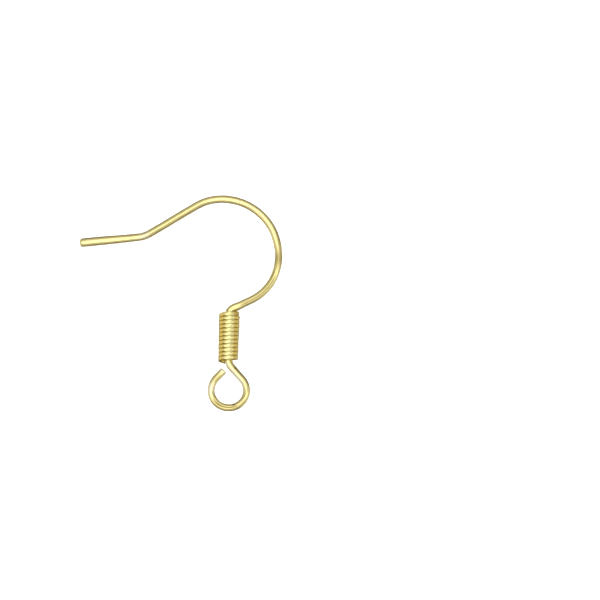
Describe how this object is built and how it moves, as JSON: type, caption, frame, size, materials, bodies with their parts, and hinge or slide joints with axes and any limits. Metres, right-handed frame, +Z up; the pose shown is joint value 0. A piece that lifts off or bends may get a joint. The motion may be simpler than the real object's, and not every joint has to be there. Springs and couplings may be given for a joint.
{
  "type": "ear wire",
  "caption": "French hook ear wire: a round wire bent into a crook, with a thickened tail, a wound coil on its shank and an open eye for a drop.",
  "frame": {"origin": "on the surface the ear wire lies on, under the middle of its box", "axes": "+X from the tail to the crook's back, +Y from the eye to the top of the crook, +Z up from the surface"},
  "size_m": [0.0188, 0.0202, 0.0021],
  "materials": {
    "hook_wire": "brass wire, plated pale gold and polished",
    "coil": "thin brass wire, close wound and plated gold"
  },
  "bodies": {
    "root": {"hook_wire": "hook_wire", "coil": "coil"}
  },
  "joints": []
}
